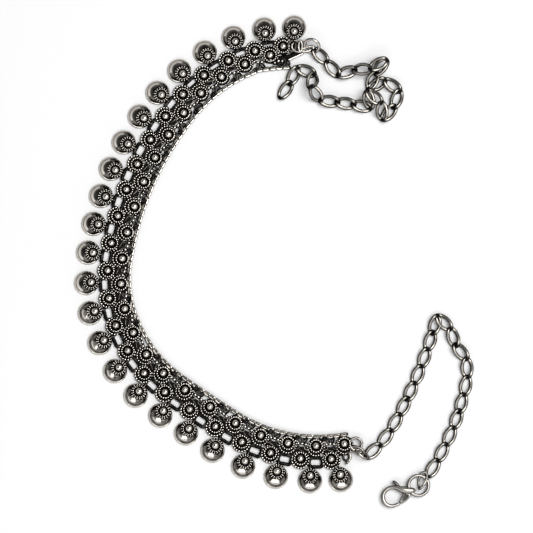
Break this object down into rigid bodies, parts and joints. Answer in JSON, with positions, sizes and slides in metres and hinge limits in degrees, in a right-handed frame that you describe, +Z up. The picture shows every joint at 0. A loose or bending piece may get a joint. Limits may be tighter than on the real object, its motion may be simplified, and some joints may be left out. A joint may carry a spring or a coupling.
{
  "type": "choker necklace",
  "caption": "Open choker collar of granulated flowers with a fringe of domed drops, a fine border chain, curb extension chains and a lobster clasp.",
  "frame": {"origin": "centre of the bounding box's underside, on the surface that the opened necklace lies on", "axes": "+X from the back of the C toward its open side, +Y toward the end with the heaped chain, +Z up out of the surface, with the domes facing up"},
  "size_m": [0.1388, 0.1718, 0.006],
  "materials": {
    "antique_silver": "antique silver-coloured plate, near black in the recesses and worn bright on the high points",
    "chain_silver": "antique silver-coloured wire, satin, dark where the links meet",
    "clasp_silver": "shiny silver-coloured casting with a little grey tarnish"
  },
  "bodies": {
    "necklace": {"drop_01": "antique_silver", "drop_02": "antique_silver", "drop_03": "antique_silver", "drop_04": "antique_silver", "drop_05": "antique_silver", "drop_06": "antique_silver", "drop_07": "antique_silver", "drop_08": "antique_silver", "drop_09": "antique_silver", "drop_10": "antique_silver", "drop_11": "antique_silver", "drop_12": "antique_silver", "drop_13": "antique_silver", "drop_14": "antique_silver", "drop_15": "antique_silver", "drop_16": "antique_silver", "drop_17": "antique_silver", "drop_18": "antique_silver", "drop_19": "antique_silver", "drop_20": "antique_silver", "drop_21": "antique_silver", "drop_22": "antique_silver", "drop_23": "antique_silver", "drop_24": "antique_silver", "band_01": "antique_silver", "band_02": "antique_silver", "band_03": "antique_silver", "band_04": "antique_silver", "band_05": "antique_silver", "band_06": "antique_silver", "band_07": "antique_silver", "band_08": "antique_silver", "band_09": "antique_silver", "band_10": "antique_silver", "band_11": "antique_silver", "band_12": "antique_silver", "border_chain": "antique_silver", "lower_chain_1": "chain_silver", "lower_chain_2": "chain_silver", "lower_chain_3": "chain_silver", "lower_chain_4": "chain_silver", "lower_chain_5": "chain_silver", "upper_chain_1": "chain_silver", "upper_chain_2": "chain_silver", "upper_chain_3": "chain_silver", "upper_chain_4": "chain_silver", "upper_chain_5": "chain_silver", "upper_chain_6": "chain_silver", "upper_chain_7": "chain_silver", "clasp_body": "clasp_silver", "clasp_ring": "clasp_silver"},
    "lever": {"clasp_lever": "clasp_silver"}
  },
  "joints": [
    {"name": "clasp_lever_hinge", "type": "hinge", "parent": "necklace", "child": "lever", "pos_m": [0.04594, -0.08107, 0.0016], "axis": [0, 0, -1], "range_deg": [0, 18], "stiffness_Nm_per_rad": 0.004, "springref_deg": -14.32}
  ]
}
